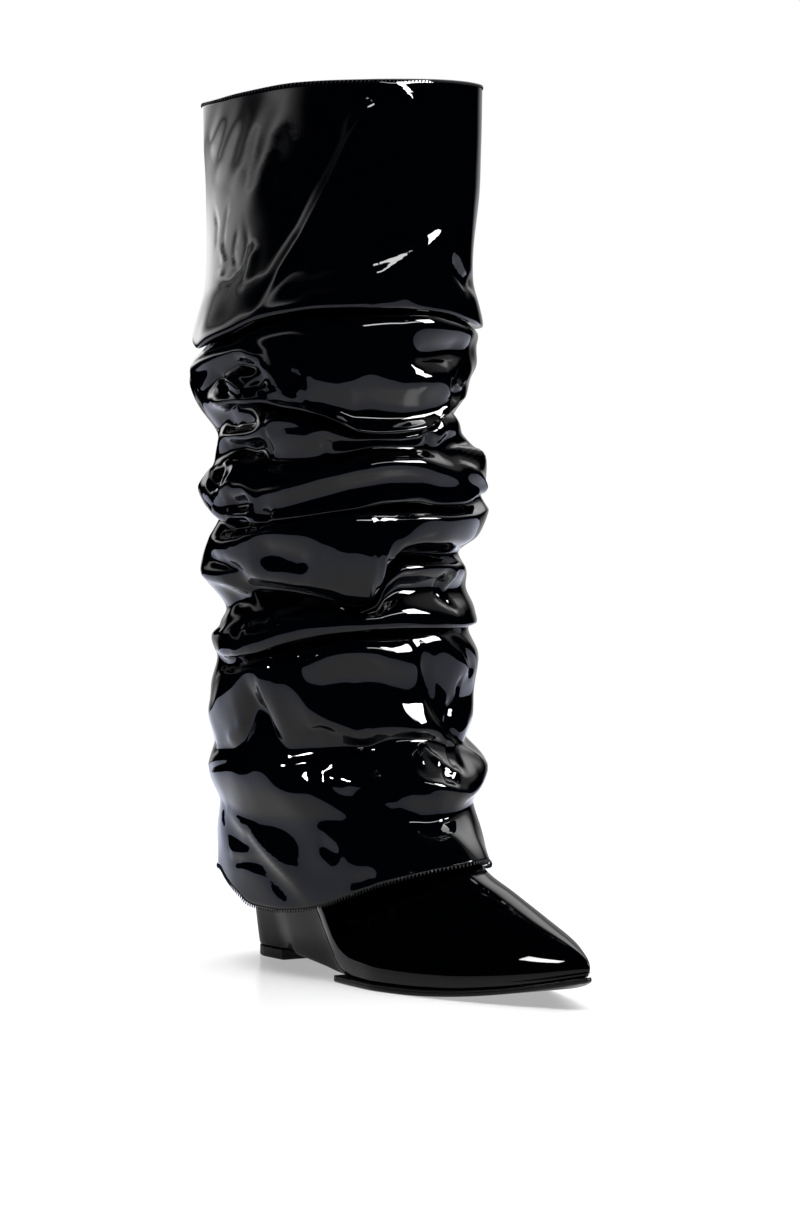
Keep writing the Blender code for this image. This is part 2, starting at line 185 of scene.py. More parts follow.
# sleeve: plain sections before it is folded
sleeve = {
    "wall": 1.6,
    "axis": (45, 0),
    "seenFrom": -128,  # degrees, outer back
    "seenTo": 66,  # inner front
    "seenColumns": 204,
    "farColumns": 58,
    "rowPitch": 2.1,
    "leastRows": 4,
    "liningRows": 56,
    "liningClear": 2.4,
    "liningSearch": (2, 24),  # at the edges, more at half height
    "calm": (300, 20, 0.85),  # the cuff hangs smoother: height, over, share
    "reliefRamp": 1.6,
    "creaseEnds": (0.3, 0.15),  # share of its length over which a crease fades, depth left at its ends
    "edgeRound": 0.5,
    "wobble": [  # waves around, waves per mm up, size, start
        (7, 0.11, 0.16, 0.4), (-11, 0.17, 0.12, 1.9), (5, -0.26, 0.1, 4.1),
        (17, 0.07, 0.08, 2.6), (-19, -0.15, 0.06, 5.2),
    ],
    "sections": [  # height, widest x, front, back, outer, inner, power
        (28, 40, 121, 68, 51, 47, 1.68),
        (56, 41, 113, 69, 51.5, 49, 1.73),
        (84, 43, 89, 70, 54, 54, 1.87),
        (112, 45, 70, 68.5, 57, 58, 2),
        (150, 45, 63, 64, 59.5, 60, 2),
        (220, 45, 62, 62, 61, 61, 2),
        (300, 45, 63.5, 63, 63, 62.5, 2),
        (412, 45, 66.8, 66.8, 65, 65, 2),
    ],
}

# folds from the hem to the rim: sharpness, then (degrees from the toe side, height, reach)
folds = [
    ("hem", 0, [(-118, 46, 0), (-108, 42, 0), (-94, 36, 0), (-86, 31.5, 0), (-78, 31, 0), (-71, 32, 0),
        (-61, 36, 0.5), (-53, 41, 1), (-40, 48, 1.5), (-19, 55, 2), (0, 57.5, 2), (15, 58, 2),
        (28, 56, 1.5), (60, 49, 1), (105, 44, 1), (150, 42, 0), (-165, 43, 0)]),
    ("skirt", 0, [(-118, 62, 0), (-95, 56, 0), (-75, 56, 0.5), (-50, 60, 1), (-30, 65, -1), (-15, 67, -2),
        (15, 69, -2), (40, 68, -1), (60, 66, 0), (105, 62, 1), (150, 60, 0), (-165, 60, 1)]),
    ("under knob", 0.4, [(-104, 76, -2), (-86, 73, -1), (-74, 74, 0), (-60, 75, 0.5), (-48, 74, 0),
        (-36, 74, -1.5), (-26, 73, -4.5), (-14, 72.5, -7), (0, 73.5, -7.5), (12, 75.5, -5.5),
        (26, 78.5, -3.5), (40, 80, -3), (60, 79, -2), (105, 80, -1), (150, 80, -1), (-165, 78, -1)]),
    ("knob", 0, [(-118, 93, 3), (-92, 93, 3), (-80, 87.5, 3), (-66, 86, 3), (-54, 88, 2.5), (-44, 87, 1.5),
        (-31, 88, 1.5), (-22, 91, 2.5), (-14, 92, 4), (0, 91.5, 5), (12, 90.5, 4.5), (30, 92, 4.3),
        (48, 96, 5.5), (105, 99, 3), (150, 98, 2), (-165, 95, 2)]),
    ("pinch", 0.5, [(-115, 104, 0), (-97, 104, -1.5), (-89, 107, -2.5), (-83, 117, -3.5), (-78, 125, -4),
        (-73, 122, -4), (-69, 110, -4), (-64, 105, -4), (-54, 106, -4.5), (-43, 107.5, -5), (-34, 108, -6),
        (-28, 108, -7), (-22, 109.5, -4.5), (-15, 111, -3), (-8, 111.5, -2.5), (6, 110.5, -2.5),
        (22, 106.5, -2.5), (50, 108, -4), (105, 113, -4), (150, 113, -4), (-165, 108, -2)]),
    ("ankle low", 0, [(-112, 122, 2.5), (-98, 131, 2.5), (-83, 139.5, 3), (-72, 144, 3), (-65, 145, 3),
        (-58, 140, 3), (-53, 134, 3), (-49, 126, 2.5), (-43, 120.5, 2), (-38, 116.5, 0.8),
        (-33, 112.5, -1.2), (-28, 109.5, -4.5), (-23, 111.5, -2.4), (-16, 113.5, -1.5), (-7, 114.5, 0),
        (1, 114.5, 1), (8, 113.5, 0), (22, 112, -1.5), (50, 116, -1), (105, 123, 0), (150, 121, 0),
        (-165, 114, 0)]),
    ("ankle dip", 0, [(-112, 127, 1.5), (-98, 136, 1.5), (-83, 143.5, 1), (-72, 147, 0.5),
        (-65, 148.5, 0.5), (-58, 146, 1.5), (-53, 141, 1.8), (-49, 136, 1), (-43, 135, 0.4), (-38, 137, 0),
        (-31, 139, -0.3), (-20, 138, -0.3), (-10, 133, -0.4), (-3, 129, -0.6), (4, 128, -0.5),
        (14, 127, -1.5), (30, 124, -1.5), (50, 128, 0), (105, 131, 1), (150, 128, 1), (-165, 122, 1)]),
    ("ankle roll", 0, [(-112, 133, 0.5), (-98, 140, 0), (-83, 146.5, -2), (-72, 149.5, -2.5),
        (-65, 151, -2.5), (-58, 151.5, -1.5), (-53, 149, 0), (-49, 146, 2.5), (-43, 149, 3.5),
        (-36, 152, 4), (-28, 153, 4), (-20, 152.5, 4), (-12, 150.5, 4), (-4, 150, 3), (3, 153, 1.5),
        (9, 155.5, 1.2), (16, 157, 1.5), (24, 156, 2), (42, 149, 3), (105, 142, 3), (150, 136, 3),
        (-165, 130, 2)]),
    ("tuck six", 0.2, [(-118, 147, -2), (-95, 147, -4), (-74, 150, -5), (-57, 155, -4), (-40, 159.5, -3.5),
        (-22, 161.5, -3), (-6, 162.5, -3), (15, 162, -2.5), (30, 161, -2), (52, 160, -1), (105, 156, -3),
        (150, 152, -4), (-165, 148, -3)]),
    ("lip six", 0, [(-118, 149, -1), (-95, 148, 0), (-74, 149, 2), (-57, 154.5, 2), (-40, 158.5, 2),
        (-22, 160.5, 2.5), (-6, 161.5, 2.5), (15, 161, 2.5), (30, 160.5, 2), (52, 161, 2), (105, 158, 1),
        (150, 154, 0), (-165, 150, 0)]),
    ("roll six", 0, [(-118, 155, 0), (-95, 157, 1), (-75, 160, 3), (-57, 163, 3), (-40, 165, 3),
        (-20, 167, 3), (-8, 167, 3), (12, 166, 3), (25, 165, 2.5), (52, 167, 1), (105, 168, 3),
        (150, 162, 3), (-165, 158, 2)]),
    ("dip six", 0, [(-118, 159, -3.5), (-95, 162, -2.5), (-73, 166, -2), (-57, 167.5, -2), (-40, 168.5, -2),
        (-25, 168, -2), (-18, 169, -2), (-12, 176, -4), (-4, 180, -5), (12, 180, -5), (33, 178, -5),
        (52, 178, -4), (105, 174, -1), (150, 167, -1), (-165, 161, -1)]),
    ("ridge six", 0, [(-118, 162, -4.5), (-95, 166, -4), (-73, 170, -3.5), (-57, 171.5, -3), (-40, 171, -3),
        (-25, 169.5, -2), (-18, 172, -1), (-12, 183, 0), (-4, 188, 1), (12, 189, 1), (33, 188, 0),
        (52, 186, -3), (105, 180, 0), (150, 171, -3), (-165, 164, -3)]),
    ("tuck five", 0.2, [(-118, 166, -6.5), (-95, 172, -7), (-73, 179, -7), (-57, 178, -7), (-40, 175, -6),
        (-25, 171.5, -5), (-18, 174, -5), (-12, 187, -6), (-4, 196, -8), (12, 195, -9), (33, 194, -9),
        (52, 194, -7), (105, 186, -5), (150, 176, -5), (-165, 168, -6)]),
    ("lip five", 0, [(-118, 186, 5), (-95, 186, 4), (-85, 186, 3), (-73, 184.5, 1.5), (-57, 181.5, 0.8),
        (-40, 178, 0), (-28, 174, -0.5), (-21, 173.5, 0), (-16, 179, 0.5), (-12, 190, 1), (-4, 199.5, 3.5),
        (8, 201, 3.5), (33, 201, 3), (52, 202, 2.5), (105, 200, 4), (150, 194, 5), (-165, 190, 5)]),
    ("plane five", 0.6, [(-118, 201, 1), (-95, 201, 4), (-73, 204.5, 5.4), (-57, 208, 6), (-40, 211, 7.2),
        (-29, 212.5, 8.2), (-21, 213, 7.5), (-15, 212.5, 5), (-9, 211.5, 3.8), (0, 211.5, 6),
        (12, 211.5, 7), (33, 212, 7), (52, 214, 7.5), (105, 212, 4), (150, 206, 2), (-165, 203, 1)]),
    ("tuck four", 0.2, [(-118, 212, -4), (-92, 205.5, -5), (-80, 206, -6), (-70, 208, -6.5), (-60, 211, -6),
        (-40, 214, -5), (-26, 216, -4.5), (-14, 219, -4), (0, 219.5, -3.5), (12, 217.5, -3),
        (26, 216.5, -1), (45, 219, 2), (55, 222, 3), (105, 219, -3), (150, 214, -5), (-165, 212, -5)]),
    ("lip four", 0, [(-118, 215, 2), (-92, 209, 1), (-80, 208.5, 1), (-70, 209, 2), (-60, 210.5, 3),
        (-40, 213.5, 3), (-26, 215.5, 2.6), (-14, 218.5, 2), (0, 219, 1.8), (12, 217, 2.2), (26, 217.5, 4),
        (45, 222, 5), (55, 225, 5.5), (105, 221, 1), (150, 216, 0), (-165, 215, 1)]),
    ("dip four", 0, [(-118, 218, 4), (-95, 217, 2), (-80, 217, 1.5), (-70, 215, 2.5), (-60, 216, 2.5),
        (-50, 218, 1.6), (-40, 221, 1), (-25, 225, 0.9), (-10, 227.5, 1), (2, 227.5, 1.3), (14, 225, 2),
        (26, 224, 4), (45, 227, 5.5), (55, 229, 6), (105, 225, 3), (150, 220, 2), (-165, 218, 3)]),
    ("roll four", 0, [(-118, 223, 6), (-95, 226, 4), (-80, 226, 3), (-70, 224, 3), (-60, 223.5, 4.5),
        (-50, 227, 5), (-39, 231, 5), (-25, 235, 4.5), (-10, 237, 4), (2, 237, 3.5), (14, 234, 3.5),
        (26, 231, 4.5), (52, 235, 6), (105, 230, 4), (150, 226, 4), (-165, 224, 5)]),
    ("tuck three", 0.2, [(-118, 236, -2), (-95, 241, -4), (-80, 240, -5), (-64, 237.5, -5),
        (-52, 237.5, -4), (-35, 240.5, -4), (-14, 244.5, -3), (7, 244, -3), (18, 242, -4), (33, 243.5, -4),
        (52, 246, -3), (105, 242, -4), (150, 239, -4), (-165, 237, -3)]),
    ("roll three", 0, [(-118, 242, -3), (-95, 250, -1), (-80, 254, 0), (-67, 256, 2), (-58, 256, 2),
        (-41, 253.5, 1), (-25, 248, 1), (-8, 248, 1), (12, 252, 0), (20, 255, -2), (33, 255, -3),
        (52, 250, -6), (105, 248, -1), (150, 246, 0), (-165, 243, -1)]),
    ("tuck two", 0.2, [(-118, 248, -4), (-95, 258, -3), (-80, 265, -4), (-67, 266, -6), (-58, 264, -6),
        (-41, 260.5, -6), (-25, 252.5, -5), (-8, 252.5, -5), (12, 257.5, -5), (20, 262, -7), (33, 263, -9),
        (52, 257, -10), (105, 256, -6), (150, 252, -5), (-165, 249, -4)]),
    ("lip two", 0, [(-118, 262, 4), (-95, 264, 5), (-80, 265, 5), (-67, 265, 4), (-58, 263, 3),
        (-49, 261.5, 3), (-41, 259.5, 4), (-33, 256, 5), (-25, 251.5, 5.5), (-16, 250.5, 5.5),
        (-8, 251, 5.5), (2, 252.5, 5.5), (12, 256.5, 5), (20, 261, 3), (33, 266, 0), (52, 268, -4),
        (105, 266, 2), (150, 264, 4), (-165, 264, 5)]),
    ("face two", 0, [(-118, 267, 6.5), (-95, 270, 5.5), (-70, 270, 4.5), (-62, 268, 4.3), (-52, 265, 4.2),
        (-46, 263.5, 3.2), (-42, 263, 1.8), (-33, 260, 1.2), (-25, 257, 0.8), (-8, 256.5, 0.8),
        (6, 258.5, 0.8), (16, 262.5, 1), (24, 267, 0.5), (40, 272, -1), (55, 275, -2.5), (105, 271, 3.5),
        (150, 270, 5), (-165, 269, 6)]),
    ("roll two", 0, [(-118, 273, 8), (-95, 276, 6), (-80, 277, 5), (-62, 272, 3.6), (-52, 268.5, 3.3),
        (-46, 269, 3.4), (-40, 272, 4.5), (-34, 273, 5), (-28, 275.5, 5.5), (-20, 280.5, 5.5),
        (-12, 275.5, 5.5), (-4, 273, 5.5), (8, 273, 5), (18, 269.5, 3.5), (26, 271, 2.5), (40, 278, 1),
        (52, 281, 0), (105, 277, 5), (150, 276, 6), (-165, 274, 7)]),
    ("dent two", 0, [(-118, 278, 7), (-95, 281, 5.5), (-80, 286, 4), (-58, 289, 3.5), (-41, 290, 4),
        (-20, 290, 4.5), (-8, 290, 4), (4, 288, 2), (16, 287, 0.5), (30, 288, 0), (45, 289, -0.5),
        (58, 290, 0), (105, 282, 5), (150, 280, 5.5), (-165, 278, 6.5)]),
    ("roll two top", 0, [(-118, 283, 6), (-105, 286, 4), (-80, 293, 2), (-60, 298, 2), (-41, 300, 2.5),
        (-20, 300.5, 2.5), (-5, 301, 3), (8, 301, 4), (20, 299.5, 4), (33, 297, 3), (52, 296, 0.5),
        (105, 288, 4), (150, 284, 4), (-165, 282, 4)]),
    ("tuck one", 0.2, [(-118, 293, -1), (-105, 293, -3), (-85, 299, -7), (-70, 304, -7), (-57, 307, -6),
        (-41, 309.5, -5), (-25, 310, -5), (-8, 310, -5), (12, 308, -5), (33, 304, -5), (52, 301, -4),
        (105, 298, -5), (150, 295, -4), (-165, 292, -3)]),
    ("cuff lip", 0.35, [(-118, 291, 6), (-107, 289, 5.5), (-95, 292.5, 5), (-81, 297, 3.5),
        (-70, 301.5, 2.2), (-58, 304.5, 1.6), (-41, 307, 1.3), (-25, 307.5, 1.2), (-8, 307.3, 1.2),
        (12, 305.5, 1.3), (33, 301.5, 1.6), (52, 299, 2), (105, 297, 3), (150, 294, 4), (-165, 290, 5)]),
    ("cuff low", 0, [(-118, 316, 0.8), (-95, 318, 0.9), (-75, 322, 0.4), (-30, 326, 0.2), (15, 325, 0.3),
        (40, 323, -0.4), (55, 322, -2), (105, 321, 0), (150, 319, 0.8), (-165, 317, 0.8)]),
    ("cuff middle", 0, [(-118, 360, -1), (-75, 363, 0), (-30, 366, 0), (15, 366, 0), (60, 364, 0),
        (105, 362, 0), (150, 359, 0), (-165, 358, 0)]),
    ("rim", 0, [(-118, 402, 0), (-100, 402.5, 0), (-75, 405.5, 0), (-50, 409, 0), (-30, 410, 0),
        (15, 411, 0), (60, 410, 0), (105, 406, 0), (150, 402, 0), (-165, 400, 0)]),
]

# soft troughs and ridges: path of (degrees, height), depth (out is plus), width on its left and right
creases = [
    # cuff: long slanting ridge, wrinkles on the outer side, fold at the lower right, dimples below the rim
    ([(-6, 445), (-19, 405), (-27, 388), (-36, 366), (-48, 341), (-62, 318), (-74, 296)], 1.1, 3, 3),
    ([(-55, 404), (-63, 384), (-70, 361), (-75, 344)], 0.5, 6, 5),
    ([(-64, 406), (-72, 388), (-78, 372), (-85, 358)], 0.55, 6, 5),
    ([(-74, 404), (-82, 390), (-90, 376), (-98, 364)], 0.55, 5, 4),
    ([(-84, 402), (-93, 390), (-104, 378)], 0.55, 5, 4),
    ([(-76, 348), (-74, 336), (-77, 326), (-86, 320), (-98, 322)], -0.5, 1.6, 1.6),
    ([(-86, 356), (-90, 342), (-92, 333)], -0.5, 1.6, 1.6),
    ([(-80, 344), (-83, 332), (-80, 324)], -0.45, 1.5, 1.5),
    ([(-100, 354), (-96, 346), (-99, 335)], -0.5, 1.8, 1.8),
    ([(-94, 336), (-89, 328), (-95, 322)], 0.5, 2, 2),
    ([(-70, 340), (-74, 326), (-80, 312)], 0.7, 4, 4),
    ([(-16, 413), (-8, 404), (2, 394)], 2.1, 4.4, 22),
    ([(1, 391), (3, 381)], -0.3, 8, 8),
    ([(2, 380), (3, 377)], -1.0, 2.8, 2.8),
    ([(-22, 406), (-18, 399)], -1.9, 4, 4),
    ([(10, 393), (17, 380), (14, 368)], 0.7, 5, 5),
    ([(26, 350), (14, 340), (4, 333), (-8, 326), (-16, 322), (-34, 319)], 2.25, 14, 5.2),
    ([(12, 333), (2, 324), (-14, 313)], 1.3, 18, 3.2),
    ([(56, 318), (32, 320), (22, 328), (18, 338)], -3.0, 4, 4),
    # second roll: arches and pocket at the outer side, two folds at the right
    ([(-120, 264), (-120, 278), (-90, 286), (-74, 288), (-62, 278), (-52, 264)], 2.4, 4, 4),
    ([(-101, 267), (-90, 276), (-78, 282), (-68, 281), (-62, 272)], -3.4, 3.5, 3),
    ([(-86, 278), (-78, 272), (-72, 267)], 1.6, 2.5, 2.5),
    ([(-88, 270), (-85, 274)], -3.5, 4, 4),
    ([(-70, 274), (-68, 270)], -3.6, 4.5, 4.5),
    ([(-6, 284), (6, 286), (34, 288)], -2.4, 5, 3),
    ([(-4, 274), (6, 276), (20, 280)], 1.6, 3, 6),
    ([(34, 280), (22, 272), (28, 266)], -3.2, 4, 4),
    ([(-64, 266), (-54, 264), (-45, 264)], -2.6, 4, 3),
    # gathers on the outer side of the seam
    ([(-96, 264), (-78, 262), (-66, 264)], 2, 3, 3),
    ([(-100, 253), (-78, 255), (-66, 256)], -4, 3, 3),
    ([(-98, 248), (-76, 249), (-66, 251)], 1.4, 2, 2),
    ([(-94, 244), (-79, 242), (-66, 244)], -4, 3, 3),
    ([(-92, 238), (-79, 235), (-66, 238)], 2, 2.5, 2.5),
    # side seam
    ([(-66, 264), (-66, 250), (-66, 237)], -1.1, 0.9, 0.9),
    # third roll
    ([(-66, 248), (-58, 253), (-47, 253), (-41, 256)], -1.8, 4, 3),
    ([(-66, 258), (-56, 261), (-48, 260)], 1.2, 4, 4),
    ([(-42, 246), (-36, 246)], -1, 4, 4),
    ([(18, 259), (10, 252), (8, 244)], -2.6, 4, 4),
    ([(14, 246), (23, 254)], 1.2, 2.5, 2.5),
    ([(16, 241), (31, 242), (56, 238)], 3, 3, 3),
    # fourth roll
    ([(-70, 234), (-51, 230)], 1.1, 3, 6),
    ([(25, 236), (43, 228), (56, 220)], 2.2, 2.5, 2.5),
    ([(-107, 226), (-92, 231)], -5, 5, 5),
    ([(-120, 225), (-110, 232), (-92, 236), (-85, 234), (-87, 227), (-96, 222)], 1.6, 2, 2),
    ([(-90, 216), (-74, 218)], -4, 4, 4),
    ([(-94, 212), (-74, 214)], 1.2, 2, 2),
    ([(-94, 206), (-74, 208)], -4, 3.5, 3.5),
    ([(-66, 210), (-66, 216)], -4, 4, 4),
    ([(-62, 215), (-62, 210)], 1.6, 2, 2),
    # fifth roll
    ([(-73, 196), (-58, 194), (-42, 189)], -4.4, 7, 9),
    ([(-106, 192), (-90, 190), (-76, 184)], -2.4, 4, 3),
    ([(-120, 186), (-92, 182), (-72, 172)], 1.8, 3, 3),
    ([(-104, 176), (-86, 170), (-72, 167)], -1.0, 5, 5),
    ([(-72, 170), (-58, 172), (-46, 176)], -1.6, 3, 3),
    ([(-70, 166), (-58, 167), (-46, 171)], 1.2, 3, 4),
    ([(-36, 174), (-32, 170)], 1.0, 3, 3),
    ([(21, 186), (20, 176), (29, 168)], -2.6, 3, 3),
    ([(29, 187), (23, 178)], 1.6, 2, 2),
    # small folds at the outer side, between the sixth roll and the ankle
    ([(-88, 163), (-78, 155)], -1.5, 5, 5),
    ([(-110, 146), (-89, 147), (-76, 150)], 2, 2.5, 2.5),
    ([(-110, 142), (-81, 144)], -2.2, 2.5, 2.5),
    # ankle: finger hollow, tongue
    ([(-82, 121), (-90, 113), (-102, 106)], 1.3, 2.5, 2.5),
    ([(-124, 100), (-92, 104)], -1.0, 2, 2),
    ([(-126, 90), (-92, 98)], -1.0, 2, 2),
    ([(-68, 97), (-58, 99.5), (-46, 102)], 1.2, 2, 2),
    ([(-55, 113), (-46, 115), (-38, 113)], -1.2, 2.5, 2.5),
    # swirl and lobes below the pinch
    ([(-44, 101), (-51, 97), (-51, 90), (-46, 86), (-38, 86)], -1.8, 4, 4),
    ([(-41, 96), (-40, 92), (-34, 92), (-24, 96)], 1.5, 2.5, 2.5),
    ([(-16, 105), (-20, 98), (-26, 91)], -2, 5, 5),
    ([(8, 112), (26, 107), (48, 98)], 1.5, 2.5, 3),
    ([(-9, 103), (-11, 95), (-7, 92), (6, 89), (20, 85), (44, 92)], 1.3, 2, 2),
    ([(3, 108), (0, 105), (-8, 100)], 1.5, 2, 2),
    ([(0, 105), (9, 98), (17, 95)], 1.5, 2, 2),
    ([(3, 97), (14, 93)], -2.4, 4, 4),
    ([(13, 104), (23, 99)], -2.2, 5, 5),
    # inner front: slanting crease and small dents
    ([(0, 158), (4, 146), (7, 131), (12, 121), (26, 108), (38, 102)], -2.2, 3, 3),
    ([(16, 159), (29, 152), (40, 141), (33, 136)], -2, 3, 3),
    ([(24, 128), (20, 121), (20, 114)], -1.6, 2.5, 2.5),
    ([(26, 134), (30, 133)], -1.6, 3, 3),
    # skirt: layered fold at the outer back, shallow dents
    ([(-106, 74), (-87, 66), (-80, 58), (-71, 46), (-66, 36)], 2.0, 10, 2.5),
    ([(-109, 68), (-90, 58), (-82, 52), (-74, 40), (-69, 34)], -0.8, 3, 5),
    ([(-100, 50), (-88, 52), (-80, 50)], -0.8, 2.5, 2.5),
    ([(-103, 55), (-83, 55)], 0.8, 3, 3),
    ([(-61, 64), (-58, 62), (-54, 58)], -0.8, 4.5, 4.5),
    ([(-50, 72), (-50, 69)], -0.5, 3, 3),
    ([(-52, 46), (-48, 48), (-42, 51)], -0.8, 3, 3),
]


# loop in plan: x = widest + front or back * cos, y = side * (1 - |cos|^power)^(1/power)
def egg(angles, widest, front, back, outer, inner, frontPower, backPower=2.0):
    c = np.cos(np.radians(angles))
    s = np.sin(np.radians(angles))
    power = np.where(c >= 0, frontPower, backPower)
    x = widest + np.where(c >= 0, front, back) * c
    y = np.where(s >= 0, inner, -outer) * np.clip(1 - np.abs(c) ** power, 0, 1) ** (1 / power)
    return x, y


# points of the sleeve at angles and heights, moved out from its plain section by the reach
def sleevePoints(angles, height, reach):
    section = [tableCurve(height, sleeve["sections"], k) for k in range(1, 7)]
    widest, front, back, outer, inner, power = section
    x, y = egg(angles, widest, front, back, outer, inner, power)
    leanX = (x - widest) / np.where(x >= widest, front, back) ** 2
    leanY = y / np.where(y >= 0, inner, outer) ** 2
    size = np.hypot(leanX, leanY)
    return np.stack((x + reach * leanX / size, y + reach * leanY / size, height), axis=-1)


# degrees of the columns: close together on the seen side, wider apart on the far side
def sleeveAngles():
    seen = np.linspace(sleeve["seenFrom"], sleeve["seenTo"], sleeve["seenColumns"], endpoint=False)
    far = np.linspace(sleeve["seenTo"], sleeve["seenFrom"] + 360, sleeve["farColumns"], endpoint=False)
    return np.concatenate((seen, far))


# rows from the hem to the rim: at each angle a smooth curve through the folds' heights and
# reaches, with leans weighted by the distances between the folds
def foldRows(angles):
    height = np.array([aroundCurve(angles, f[2], 1) for f in folds])
    reach = np.array([aroundCurve(angles, f[2], 2) for f in folds])
    chord = np.maximum(np.hypot(np.diff(height, axis=0), np.diff(reach, axis=0)), 0.5)
    leans = []
    for value in (height, reach):
        slope = np.diff(value, axis=0) / chord
        lean = np.empty_like(value)
        lean[0], lean[-1] = slope[0], slope[-1]
        lean[1:-1] = (chord[:-1] * slope[1:] + chord[1:] * slope[:-1]) / (chord[:-1] + chord[1:])
        leans.append(lean * (1 - np.array([f[1] for f in folds])[:, None]))
    rowsZ, rowsReach = [height[:1]], [reach[:1]]
    for k in range(len(folds) - 1):
        count = max(sleeve["leastRows"], int(round(chord[k].max() / sleeve["rowPitch"])))
        u = (np.arange(1, count + 1) / count)[:, None]
        pair = []
        for value, lean in zip((height, reach), leans):
            pair.append(hermite(u, value[k], value[k + 1], lean[k] * chord[k], lean[k + 1] * chord[k]))
        rowsZ.append(pair[0])
        rowsReach.append(pair[1])
    return np.concatenate(rowsZ), np.concatenate(rowsReach)


# millimetres per degree around the plain sleeve
def arcPerDegree(angle, height):
    ends = sleevePoints(np.array((angle - 1.0, angle + 1.0)), np.full(2, float(height)), np.zeros(2))
    return float(np.linalg.norm(ends[1] - ends[0])) / 2


# height of all the creases at (degrees, height): a bell across each path that fades to its ends
def creaseField(angles, height):
    total = np.zeros(np.broadcast(angles, height).shape)
    fadeOver, endDepth = sleeve["creaseEnds"]
    for path, depth, wideLeft, wideRight in creases:
        p = np.array(path, float)
        middles = (p[:-1] + p[1:]) / 2
        arcs = [arcPerDegree(degree, z) for degree, z in middles]
        spans = np.hypot(np.diff(p[:, 0]) * arcs, np.diff(p[:, 1]))
        start = np.concatenate(([0], np.cumsum(spans)))
        best = np.full(total.shape, 1e9)
        side = np.zeros(total.shape)
        place = np.zeros(total.shape)
        for k, span in enumerate(spans):
            dx, dz = (p[k + 1, 0] - p[k, 0]) * arcs[k] / span, (p[k + 1, 1] - p[k, 1]) / span
            ax, az = (angles - p[k, 0]) * arcs[k], height - p[k, 1]
            s = np.clip(ax * dx + az * dz, 0, span)
            distance = np.hypot(ax - s * dx, az - s * dz)
            near = distance < best
            best = np.where(near, distance, best)
            side = np.where(near, dx * az - dz * ax, side)
            place = np.where(near, (start[k] + s) / start[-1], place)
        width = np.where(side >= 0, wideLeft, wideRight)
        fade = np.clip(np.minimum(place, 1 - place) / fadeOver, 0, 1)
        fade = endDepth + (1 - endDepth) * fade * fade * (3 - 2 * fade)
        total += depth * np.exp(-(best / width) ** 2) * fade
    return total


# slow wobble of the sheet: a few sine waves across the (degrees, height) plane
def slowWobble(angles, height):
    total = 0
    for turns, perMm, size, start in sleeve["wobble"]:
        total = total + size * np.sin(np.radians(turns * angles) + perMm * height + start)
    return total


# lining: rows from the rim down to the hem, each drawn in to the narrowest place near its height
def liningRows(points):
    away = points[..., :2] - sleeve["axis"]
    edge, more = sleeve["liningSearch"]
    radius = np.linalg.norm(away, axis=2)
    columns = np.arange(points.shape[1])
    rows = []
    for v in np.linspace(0, 1, sleeve["liningRows"]):
        z = points[-1, :, 2] * (1 - v) + points[0, :, 2] * v
        near = np.where(np.abs(points[..., 2] - z) < edge + more * v * (1 - v), radius, 1e9)
        tight = near.argmin(axis=0)
        size = near[tight, columns]
        inset = sleeve["wall"] + sleeve["liningClear"] * v * (1 - v)
        plan = away[tight, columns] * (1 - inset / size)[:, None]
        rows.append(np.column_stack((plan + sleeve["axis"], z)))
    rows = np.array(rows)
    rows[1:-1] = (rows[:-2] + 2 * rows[1:-1] + rows[2:]) / 4
    return rows


# sleeve: folded rows moved along their normals by the creases and the wobble, then the lining
def buildSleeve():
    angles = sleeveAngles()
    height, reach = foldRows(angles)
    points = sleevePoints(angles, height, reach)
    turn = (angles + 180) % 360 - 180
    normals = gridNormals(points)
    radial = points[..., :2] - sleeve["axis"]
    facing = np.sum(normals[..., :2] * radial, axis=2) / np.linalg.norm(radial, axis=2)
    calmFrom, calmOver, calmShare = sleeve["calm"]
    calm = 1 - calmShare * np.clip((height - calmFrom) / calmOver, 0, 1)
    relief = creaseField(turn, height) + slowWobble(angles, height) * calm
    points = points + normals * (relief * np.clip(facing * sleeve["reliefRamp"], 0, 1))[..., None]
    inner = liningRows(points)
    middleTop = (points[-1:] + inner[:1]) / 2 + (0, 0, sleeve["edgeRound"])
    middleLow = (points[:1] + inner[-1:]) / 2 - (0, 0, sleeve["edgeRound"])
    grid = np.concatenate((points, middleTop, inner, middleLow))
    slots = np.zeros(len(grid), int)
    slots[len(points) + 1:-2] = 1
    return gridPiece("patentSleeve", grid, [sleevePatent, liningCloth], True, slots), points


sleevePiece, sleeveOuter = buildSleeve()
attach(sleevePiece, "root")
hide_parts("sleeve_shaft")
print("sleeve", len(sleevePiece.data.polygons) * 2, "triangles")

